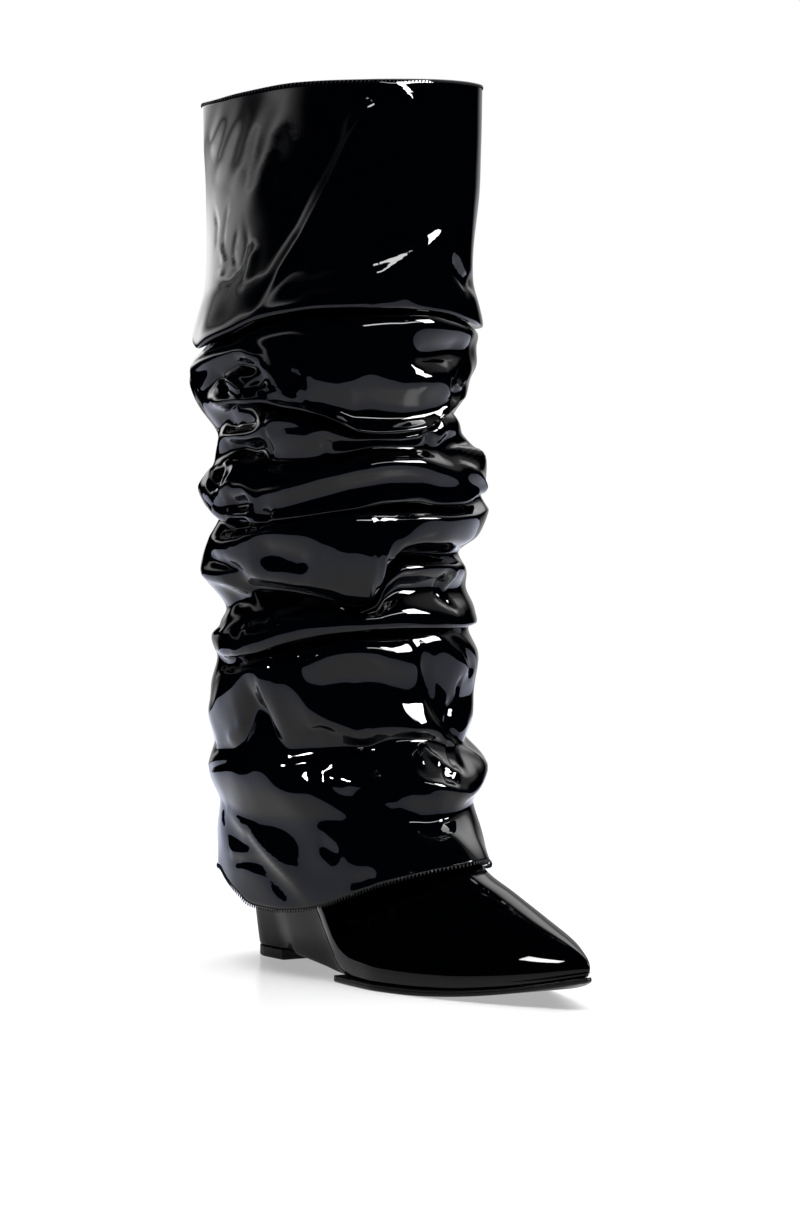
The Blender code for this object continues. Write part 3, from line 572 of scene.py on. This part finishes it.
# foot: the upper's loops, the last's underside and the sole's outline
foot = {
    "heelBack": -20.0,
    "toeTip": 240.0,
    "ballX": 132.0,
    "ballOuter": 38.5,
    "ballInner": 39.5,
    "waistX": 72.0,
    "waistPinch": 0.10,
    "waistSpread": 34.0,
    "tipInward": 6.0,
    "tipShare": 2.3,  # the outline's tip moves back more than its sides do
    "toePower": 1.25,
    "heelPower": 2.7,
    "wall": 1.5,
    "columns": 200,
    "crowding": 6.0,  # degrees the columns move toward the toe and the heel
    "rowsEach": 8,
    "liftMiddle": 0.55,
    "clear": 0.3,
    "collarLow": (12, 0.5, 9),  # below the pinch, share of its reach, further in
    "collarIn": 0.4,
    "seatEdge": [(0.75, 0), (0.3, 0.15), (0.08, 0.45), (0, 0.9)],  # inset, rise
    "underside": [  # x, height
        (-26, 68), (0, 67), (20, 64), (45, 54.5), (65, 42), (80, 29), (90, 18), (99, 9.5),
        (107, 5.6), (116, 3.9), (130, 3.5), (150, 3.5), (175, 4.3), (200, 6.9), (220, 10.3), (242, 15.3),
    ],
    "loops": [  # front x, front z, back x, back lift, side lift, outer, inner, widest x, power, inner power
        (240.0, 15.0, -20.0, 0, 0, 38.5, 39.5, 132, 1.25, 1.25),
        (241.2, 19.0, -21.2, 9, 7.5, 39.6, 40.6, 131, 1.27, 1.28),
        (237.0, 23.6, -21.4, 18, 14.5, 37.8, 40.0, 128, 1.3, 1.42),
        (224.0, 29.0, -20.0, 28, 22.5, 34.2, 37.5, 120, 1.4, 1.75),
        (202.0, 36.6, -18.0, 36, 28.5, 31.6, 34.8, 108, 1.53, 2.0),
        (176.0, 46.5, -16.0, 42, 32.5, 30.2, 33.0, 92, 1.65, 2.1),
        (150.0, 56.4, -14.5, 46, 36.5, 31.0, 33.2, 76, 1.8, 2.1),
        (124.0, 75.0, -13.5, 48, 45, 38.5, 38.5, 60, 2.0, 2.0),
    ],
}


# height of the foot's underside along the boot
def lastUnder(x):
    return tableCurve(x, foot["underside"])


# shift of the middle line to the inner side: a parabola from the ball to the tip
def toeSwing(x):
    share = np.clip((np.asarray(x, float) - foot["ballX"]) / (foot["toeTip"] - foot["ballX"]), 0, None)
    return foot["tipInward"] * share ** 2


# share of the width left at the waist: 1 less a bell
def waist(x):
    away = (np.asarray(x, float) - foot["waistX"]) / foot["waistSpread"]
    return 1 - foot["waistPinch"] * np.exp(-away ** 2)


# one closed loop of the upper: an egg in plan, lifted from the underside by a parabola along it
def upperLoop(row, angles):
    frontX, frontZ, backX, backLift, sideLift, outer, inner, widest, power, innerPower = row
    power = np.where(np.sin(np.radians(angles)) > 0, innerPower, power)
    x, y = egg(angles, widest, frontX - widest, widest - backX, outer, inner, power, foot["heelPower"])
    along = (x - backX) / (frontX - backX)
    frontLift = frontZ - float(lastUnder(frontX))
    middle = foot["liftMiddle"]
    lift = backLift * (along - middle) * (along - 1) / middle
    lift = lift + sideLift * along * (along - 1) / (middle * (middle - 1))
    lift = lift + frontLift * along * (along - middle) / (1 - middle)
    return np.stack((x, y * waist(x) + toeSwing(x), lastUnder(x) + lift), axis=-1)


# rows between loops: a cubic from each loop to the next, with leans from the loops before and after
def smoothRows(loops, steps):
    rows = [loops[0]]
    for i in range(len(loops) - 1):
        before, after = loops[max(i - 1, 0)], loops[min(i + 2, len(loops) - 1)]
        lean, endLean = (loops[i + 1] - before) / 2, (after - loops[i]) / 2
        for step in range(1, steps + 1):
            rows.append(hermite(step / steps, loops[i], loops[i + 1], lean, endLean))
    return np.array(rows)


# vamp, heel and ankle as one shell that flares to the sleeve's pinch
def buildUpper():
    turn = np.linspace(-180, 180, foot["columns"], endpoint=False)
    angles = turn - foot["crowding"] * np.sin(np.radians(2 * turn))
    loops = [upperLoop(row, angles) for row in foot["loops"]]
    pinch = [f for f in folds if f[0] == "pinch"][0]
    height, reach = aroundCurve(angles, pinch[2], 1), aroundCurve(angles, pinch[2], 2)
    inside = sleeve["wall"] + foot["clear"]
    down, share, further = foot["collarLow"]
    loops.append(sleevePoints(angles, height - down, reach * share - inside - further))
    loops.append(sleevePoints(angles, height, reach - inside - foot["collarIn"]))
    points = smoothRows(loops, foot["rowsEach"])
    out = gridNormals(points)
    edge = [points[:1] - out[:1] * inset + (0, 0, rise) for inset, rise in foot["seatEdge"]]
    points = np.concatenate((*edge, points[1:]))
    inner = (points - gridNormals(points) * foot["wall"])[:2:-2]  # every other row, from the collar down
    grid = np.concatenate((points, inner))
    slots = np.zeros(len(grid), int)
    slots[len(points):-1] = 1
    return gridPiece("patentUpper", grid, [vampPatent, liningCloth], True, slots)


upperPiece = buildUpper()
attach(upperPiece, "root")
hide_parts("upper")
print("upper", len(upperPiece.data.polygons) * 2, "triangles")


# half width of the sole's outline: a flat-sided curve to the toe and a round one to the heel,
# drawn in at the waist
def soleHalf(x, inset, innerSide):
    ball = np.where(innerSide, foot["ballInner"], foot["ballOuter"]) - inset
    front = foot["toeTip"] - foot["ballX"] - inset * foot["tipShare"]
    back = foot["ballX"] - foot["heelBack"] - inset
    fore = 1 - np.clip((x - foot["ballX"]) / front, 0, 1) ** foot["toePower"]
    hind = 1 - np.clip((foot["ballX"] - x) / back, 0, 1) ** foot["heelPower"]
    half = np.where(x >= foot["ballX"], fore ** (1 / foot["toePower"]), hind ** (1 / foot["heelPower"]))
    return ball * half * waist(x)


# wedge: covered block between the top lift and the foot's underside
wedge = {
    "columns": 90,
    "rows": 28,
    "rounding": 0.9,
    "roundingDepth": 0.7,
    "frontX": 111.0,
    "liftBack": -15.7,
    "roundFrom": 2.0,
    "roundPower": 2.4,
    "lean": 0.8,
    "inset": 0.2,
    "under": [(-20, 5.3), (16, 5.3), (45, 5.0), (75, 4.4), (96, 3.5), (112, 3.5)],  # x, height
    "footprint": [(-20, 15), (16, 15), (40, 20.5), (65, 26), (90, 31), (112, 35)],  # x, half width
}


# wedge cover: at each place along the foot a straight side leans from the top lift's outline out to the
# sole's outline; the loop runs up the outer side to the heel and back down the inner side
def buildWedge():
    share = 0.5 - 0.5 * np.cos(np.linspace(0, np.pi, wedge["columns"]))
    share = np.concatenate((share[::-1], share[1:]))[None, :]
    innerSide = (np.arange(share.size) >= wedge["columns"])[None, :]
    topBack = foot["heelBack"] + foot["clear"]
    topX = topBack + (wedge["frontX"] - topBack) * share
    lowX = wedge["liftBack"] + (wedge["frontX"] - wedge["liftBack"]) * share
    power, roundFrom = wedge["roundPower"], wedge["roundFrom"]
    roundBack = np.clip((roundFrom - lowX) / (roundFrom - wedge["liftBack"]), 0, 1) ** power
    lowHalf = tableCurve(lowX, wedge["footprint"]) * (1 - roundBack) ** (1 / power)
    topHalf = soleHalf(topX, wedge["inset"], innerSide)
    under, top = tableCurve(lowX, wedge["under"]), lastUnder(topX) - foot["clear"]
    level = (0.5 - 0.5 * np.cos(np.linspace(0, np.pi, wedge["rows"])))[:, None]
    lean = level ** wedge["lean"]
    up = level * (top - under)
    edge = np.clip(1 - np.minimum(up, top - under - up) / wedge["rounding"], 0, 1) ** 2
    edge = edge * wedge["rounding"] * wedge["roundingDepth"]
    half = np.maximum(lowHalf + (topHalf - lowHalf) * lean - edge, 0)
    points = np.stack((lowX + (topX - lowX) * lean, np.where(innerSide, half, -half), under + up), axis=-1)
    lid = points[[0, -1]] * (1, 0, 1)
    return gridPiece("wedgeCover", np.concatenate((lid[:1], points, lid[1:]))[:, ::-1], [wedgePatent], False)


wedgePiece = buildWedge()
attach(wedgePiece, "root")
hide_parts("wedge_heel")

# outsole: thin rubber unit under the forefoot
outsole = {
    "columns": 120,
    "rear": 98.0,
    "edge": 1.0,  # stands out from the upper
    "tipEdge": 1.2,
    "tipInset": 2,  # the profile's inset counts up to this at the tip
    "tipGap": 0.1,
    "springFrom": 150.0,
    "spring": 12.0,
    "springPower": 1.9,
    "flatTo": 116.0,
    "flatTop": 3.2,
    "profile": [  # inset, share of the thickness
        (30, 0), (1.6, 0), (0.7, 0.03), (0.2, 0.14), (0, 0.3), (0, 0.62), (0.12, 0.72), (0.12, 0.76),
        (0, 0.84), (0.15, 0.95), (0.6, 1), (30, 1),
    ],
}


# outsole: an edge profile carried around the sole's outline, flat at the ball and turned up at the toe
def buildOutsole():
    share = np.sin(np.linspace(0, np.pi / 2, outsole["columns"]))
    share = np.concatenate((share, share[-2::-1]))[None, :]
    innerSide = (np.arange(share.size) >= outsole["columns"])[None, :]
    inset, level = np.array(outsole["profile"]).T[:, :, None]
    front = foot["toeTip"] + outsole["edge"] * outsole["tipEdge"]
    front = front - np.minimum(inset, outsole["tipInset"]) * foot["tipShare"]
    x = outsole["rear"] + (front - outsole["rear"]) * share
    half = soleHalf(np.minimum(x, front - outsole["tipGap"]), inset - outsole["edge"], innerSide)
    half = np.where(share < 1, np.maximum(half, 0), 0)
    spring = np.clip((x - outsole["springFrom"]) / (foot["toeTip"] - outsole["springFrom"]), 0, None)
    under = spring ** outsole["springPower"] * outsole["spring"]
    top = np.where(x < outsole["flatTo"], outsole["flatTop"], lastUnder(x) - foot["clear"])
    y = np.where(innerSide, half, -half) + toeSwing(x)
    points = np.stack((x, y, under + level * (top - under)), axis=-1)
    return gridPiece("outsoleEdge", points, [soleRubber], False)


outsolePiece = buildOutsole()
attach(outsolePiece, "root")
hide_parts("outsole")
print("wedge and outsole ready")

# finishes of the two nodes that stay as the frame has them
nodes = frame["nodes"]
for nodeName, finish in (("heel_top_lift", liftRubber), ("insole", sockCloth)):
    nodes[nodeName].data.materials.clear()
    nodes[nodeName].data.materials.append(finish)

# whip stitches along the rim and the hem
stitching = {
    "rim": {"pitch": 1.9, "length": 1.7, "thick": 0.34, "down": 0.35, "lift": 0.1, "slant": 0.25},
    "hem": {"pitch": 1.8, "length": 2.2, "thick": 0.36, "down": -0.5, "lift": 0.1, "slant": 0.2},
}


# stitches: short spindles at even steps along an edge loop, each lying across the edge
def buildStitches(name, loop, inward, out, size):
    closed = np.concatenate((loop, loop[:1]))
    run = np.concatenate(([0], np.cumsum(np.linalg.norm(np.diff(closed, axis=0), axis=1))))
    at = np.linspace(0, run[-1], int(run[-1] / size["pitch"]), endpoint=False)

    def along(values):
        wrapped = np.concatenate((values, values[:1]))
        return np.stack([np.interp(at, run, wrapped[:, k]) for k in range(3)], axis=-1)

    middle, across, face = along(loop), along(inward), along(out)
    side = np.cross(across, face)
    across = across + side * size["slant"]
    across = across / np.linalg.norm(across, axis=1, keepdims=True)
    rings, sides = 5, 6
    v = np.linspace(-1, 1, rings)
    turn = np.radians(np.arange(0, 360, 360 // sides))
    radius = size["thick"] * np.sqrt(1.02 - v ** 2)
    ring = np.cos(turn)[:, None] * side[:, None, None] + np.sin(turn)[:, None] * face[:, None, None]
    seat = middle + across * size["down"] + face * size["lift"]
    spine = across[:, None] * (v * size["length"] / 2)[:, None] + seat[:, None]
    points = spine[:, :, None] + ring * radius[None, :, None, None]
    r, c = np.meshgrid(np.arange(rings - 1) * sides, np.arange(sides), indexing="ij")
    right = (c + 1) % sides
    quad = np.stack((r + c, r + right, r + sides + right, r + sides + c), axis=-1).reshape(-1, 4)
    faces = (np.arange(len(at))[:, None, None] * rings * sides + quad[None]).reshape(-1, 4)
    mesh = bpy.data.meshes.new(name)
    mesh.from_pydata((points.reshape(-1, 3) * mm).tolist(), [], faces.tolist())
    mesh.polygons.foreach_set("use_smooth", np.ones(len(faces), bool))
    mesh.materials.append(threadBlack)
    mesh.update()
    piece = addObject(name, mesh)
    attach(piece, "root")
    return piece


# unit steps from an edge row into the sheet, and outward
def edgeWays(points, edgeRow, nextRow):
    into = points[nextRow] - points[edgeRow]
    return into / np.linalg.norm(into, axis=1, keepdims=True), gridNormals(points)[edgeRow]


for label, edgeRow, nextRow in (("rim", -1, -3), ("hem", 0, 2)):
    into, out = edgeWays(sleeveOuter, edgeRow, nextRow)
    stitches = buildStitches(label + "Stitches", sleeveOuter[edgeRow], into, out, stitching[label])
    print(stitches.name, len(stitches.data.polygons) * 2, "triangles")

# studio: pale floor, a soft-edged wall of light at the left, two boxes at the right, two small snoots,
# a fill from above for the floor, and patches of light behind for the gloss
studio = {
    "azimuth": 58.45,
    "floorFront": 0.80,
    "floorBack": 1.1,
    "floorSide": 1.0,
    # distances from the boot over which the floor's glow turns from grey to blue
    "floorGlowTurnsBlue": (0.15, 0.5),  # metres from the boot
    "floorGlow": 0.65,
    "floorMiddle": (0.10, 0, 0),
    "lamps": {  # bearing to the right of the camera, elevation, distance, size, power, aim, spread
        "keyBox": (70, 36, 1.7, (0.6, 0.6), 117, (0.045, 0, 0.2), 180),
        "sideBox": (38, 36, 1.7, (1.0, 0.14), 16, (0.045, 0, 0.2), 180),
        "toeSnoot": (-69, 39, 0.25, (0.07, 0.03), 0.018, (0.222, -0.005, 0.021), 32),
        "tongueSnoot": (-71, 36, 0.35, (0.12, 0.03), 0.05, (0.078, -0.049, 0.099), 13),
        "topFill": (0, 88, 2.2, (2.4, 2.4), 75, (0.045, 0, 0), 180),
    },
    "leftWall": {
        "from": -4, "to": -176, "far": 0.55, "low": 0.2, "high": 0.64, "columns": 60, "rows": 30,
        "turnsFrom": 0.405, "turnsTo": 0.345,  # heights of its upper and its lower part
        "start": (-26, -56), "full": (-50, -100), "past": (0.12, 0.95),  # in the upper and the lower part
        "power": 1.6, "pastOver": 25, "softFar": 52, "farShare": 0.2,
        "bandLow": (0.26, 0.33), "bandHigh": (0.46, 0.4),
        "line": (0.42, 0.44, 0.47, 0.49), "lineFrom": (-4, -14), "lineTo": (-90, -70), "lineGlow": 0.045,
        "upper": (0.395, 0.42, 0.46, 0.5), "upperFrom": (-75, -100), "upperGlow": 0.45,
        "grid": (0.006, 0.05), "strength": 4.6,
    },
    "patches": [  # bearing, elevation, dot where it starts and where it is full, strength
        (178, 0, 0.86, 0.97, 0.5), (135, 42, 0.84, 0.96, 0.45), (157, 40, 0.9, 0.985, 2.4),
    ],
}
turnTo = math.radians(studio["azimuth"])
toCamera = np.array((math.sin(turnTo), -math.cos(turnTo), 0))
toRight = np.array((math.cos(turnTo), math.sin(turnTo), 0))
axisPoint = np.array((0.045, 0, 0))


# unit way from the boot at a bearing to the right of the camera and an elevation
def wayTo(bearing, up):
    a, e = math.radians(bearing), math.radians(up)
    level = toCamera * math.cos(a) + toRight * math.sin(a)
    return level * math.cos(e) + np.array((0, 0, math.sin(e)))


# node that goes smoothly from one value to another while its input goes from low to high
def softRamp(nodes, low, high, start, end):
    ramp = nodes.new("ShaderNodeMapRange")
    ramp.interpolation_type = "SMOOTHSTEP"
    for label, value in (("From Min", low), ("From Max", high), ("To Min", start), ("To Max", end)):
        ramp.inputs[label].default_value = value
    return ramp


# pale floor that glows like a lamp: a grey glow near the boot, where it takes the shadow, turning to a blue
# glow further out; the patent reflects this glow
def floorMaterial():
    material, nodes, links = nodeMaterial("paleFloor")
    shader = nodes["Principled BSDF"]
    shader.inputs["Base Color"].default_value = (0.9, 0.9, 0.9, 1)
    shader.inputs["Roughness"].default_value = 0.22
    shader.inputs["Specular IOR Level"].default_value = 0.35
    shader.inputs["Emission Strength"].default_value = studio["floorGlow"]
    place = nodes.new("ShaderNodeTexCoord")
    out = nodes.new("ShaderNodeVectorMath")
    out.operation = "DISTANCE"
    out.inputs[1].default_value = studio["floorMiddle"]
    share = softRamp(nodes, *studio["floorGlowTurnsBlue"], 0, 1)
    # colour of the floor's glow, not of the floor itself: grey near the boot, blue further out
    ramp = nodes.new("ShaderNodeValToRGB")
    ramp.color_ramp.elements[0].color = (0.6, 0.6, 0.6, 1)
    ramp.color_ramp.elements[1].color = (0.54, 0.61, 1, 1)
    links.new(place.outputs["Object"], out.inputs[0])
    links.new(out.outputs["Value"], share.inputs["Value"])
    links.new(share.outputs["Result"], ramp.inputs["Fac"])
    links.new(ramp.outputs["Color"], shader.inputs["Emission Color"])
    return material


# flat floor with straight edges, one of them a little in front of the frame
def buildFloor():
    near, far, side = studio["floorFront"], -studio["floorBack"], studio["floorSide"]
    ends = ((far, -side), (near, -side), (near, side), (far, side))
    mesh = bpy.data.meshes.new("floor")
    mesh.from_pydata([tuple(axisPoint + toCamera * a + toRight * b) for a, b in ends], [], [(0, 1, 2, 3)])
    mesh.materials.append(floorMaterial())
    return addObject("floor", mesh)


buildFloor()


# area lamp at a bearing, an elevation and a distance from its aim, turned to it
def softBox(name, bearing, up, far, size, power, aim, spread):
    lamp = bpy.data.lights.new(name, "AREA")
    lamp.shape = "RECTANGLE"
    lamp.size, lamp.size_y = size
    lamp.energy = power
    lamp.spread = math.radians(spread)
    item = addObject(name, lamp)
    way = wayTo(bearing, up)
    item.location = np.array(aim) + way * far
    item.rotation_mode = "QUATERNION"
    item.rotation_quaternion = Vector(-way).to_track_quat("-Z", "Y")
    return item


for lampName, lampRow in studio["lamps"].items():
    lampItem = softBox(lampName, *lampRow)
    lampItem.visible_diffuse = lampName == "topFill"
    lampItem.visible_glossy = lampName != "topFill"
    lampItem.visible_camera = not lampName.endswith("Snoot")


# 0 before the start, 1 past the end, smooth between
def softStep(x, start, end):
    u = np.clip((x - start) / (end - start), 0, 1)
    return u * u * (3 - 2 * u)


# 1 between the two middle values, 0 outside the outer ones
def softBand(x, low, lowFull, highFull, high):
    return softStep(x, low, lowFull) * softStep(x, high, highFull)


# glow of the left wall over bearing and height: a slanting patch that fades to its edges, a thin dim line
# above it, and a dimmer patch further round
def wallGlow(wall, bearing, high):
    lower = softStep(high, wall["turnsFrom"], wall["turnsTo"])
    start, full, past = [a + (b - a) * lower for a, b in (wall["start"], wall["full"], wall["past"])]
    glow = softStep(bearing, start, full) ** wall["power"]
    glow = glow * (1 - (1 - past) * softStep(bearing, full, full - wall["pastOver"]))
    farSide = softStep(bearing, wall["to"], wall["to"] + wall["softFar"])
    glow = glow * (wall["farShare"] + (1 - wall["farShare"]) * farSide)
    glow = glow * softStep(high, *wall["bandLow"]) * softStep(high, *wall["bandHigh"])
    line = softBand(high, *wall["line"]) * softStep(bearing, *wall["lineFrom"])
    glow = glow + wall["lineGlow"] * line * softStep(bearing, *wall["lineTo"])
    upper = softBand(high, *wall["upper"]) * softStep(bearing, *wall["upperFrom"])
    return np.maximum(glow, wall["upperGlow"] * upper)


# light of the wall: its glow, through a grid that lets out only what leaves nearly square
def wallMaterial(wall):
    material, nodes, links = nodeMaterial("whiteWall")
    nodes.remove(nodes["Principled BSDF"])
    light = nodes.new("ShaderNodeEmission")
    read = nodes.new("ShaderNodeAttribute")
    read.attribute_name = "glow"
    square = nodes.new("ShaderNodeLayerWeight")
    grid = softRamp(nodes, *wall["grid"], wall["strength"], 0)
    gain = nodes.new("ShaderNodeMath")
    gain.operation = "MULTIPLY"
    links.new(square.outputs["Facing"], grid.inputs["Value"])
    links.new(read.outputs["Fac"], gain.inputs[0])
    links.new(grid.outputs["Result"], gain.inputs[1])
    links.new(gain.outputs["Value"], light.inputs["Strength"])
    links.new(light.outputs["Emission"], nodes["Material Output"].inputs["Surface"])
    return material


# wall at the left: an upright arc around the shaft
def buildLeftWall():
    wall = studio["leftWall"]
    rows, columns = wall["rows"], wall["columns"]
    bearing = np.linspace(wall["from"], wall["to"], columns)[None, :]
    high = np.linspace(wall["low"], wall["high"], rows)[:, None]
    turn = np.radians(bearing)
    around = np.cos(turn)[..., None] * toCamera + np.sin(turn)[..., None] * toRight
    points = axisPoint + around * wall["far"] + np.array((0, 0, 1)) * high[..., None]
    r, c = np.meshgrid(np.arange(rows - 1) * columns, np.arange(columns - 1), indexing="ij")
    quads = np.stack((r + c, r + c + 1, r + columns + c + 1, r + columns + c), axis=-1).reshape(-1, 4)
    mesh = bpy.data.meshes.new("leftWall")
    mesh.from_pydata(points.reshape(-1, 3).tolist(), [], quads.tolist())
    glow = wallGlow(wall, bearing, high).astype(np.float32)
    mesh.attributes.new("glow", "FLOAT", "POINT").data.foreach_set("value", glow.ravel())
    mesh.materials.append(wallMaterial(wall))
    item = addObject("leftWall", mesh)
    item.visible_camera = False
    item.visible_diffuse = False
    item.visible_shadow = False
    return item


buildLeftWall()


# soft round patch of the world: it grows with the dot of the direction and its middle
def worldPatch(tree, direction, bearing, up, low, high, strength):
    dot = tree.nodes.new("ShaderNodeVectorMath")
    dot.operation = "DOT_PRODUCT"
    dot.inputs[1].default_value = tuple(wayTo(bearing, up))
    ramp = softRamp(tree.nodes, low, high, 0, strength)
    tree.links.new(direction, dot.inputs[0])
    tree.links.new(dot.outputs["Value"], ramp.inputs["Value"])
    return ramp.outputs["Result"]


# world: white for the camera; for the gloss dark, with the patches behind
def buildWorld():
    world = bpy.data.worlds.new("studio")
    bpy.context.scene.world = world
    world.use_nodes = True
    tree = world.node_tree
    place = tree.nodes.new("ShaderNodeTexCoord")
    glow = tree.nodes.new("ShaderNodeLightPath").outputs["Is Camera Ray"]
    for row in studio["patches"]:
        larger = tree.nodes.new("ShaderNodeMath")
        larger.operation = "MAXIMUM"
        tree.links.new(glow, larger.inputs[0])
        tree.links.new(worldPatch(tree, place.outputs["Generated"], *row), larger.inputs[1])
        glow = larger.outputs["Value"]
    tree.links.new(glow, tree.nodes["Background"].inputs["Strength"])
    tree.nodes["Background"].inputs["Color"].default_value = (1, 1, 1, 1)


buildWorld()
scene = bpy.context.scene
scene.view_settings.view_transform = "Standard"
scene.view_settings.look = "None"

# camera at the photograph's angle
view = {"far": 2.318, "high": 0.290, "down": 2.98, "turn": 57.78, "lens": 147.7}
camData = bpy.data.cameras.new("camera")
camData.lens = view["lens"]
camData.sensor_width = 36
camera = addObject("camera", camData)
camera.location = axisPoint + toCamera * view["far"] + np.array((0, 0, view["high"]))
camera.rotation_euler = (math.radians(90 - view["down"]), 0, math.radians(view["turn"]))
scene.camera = camera
print("studio ready")
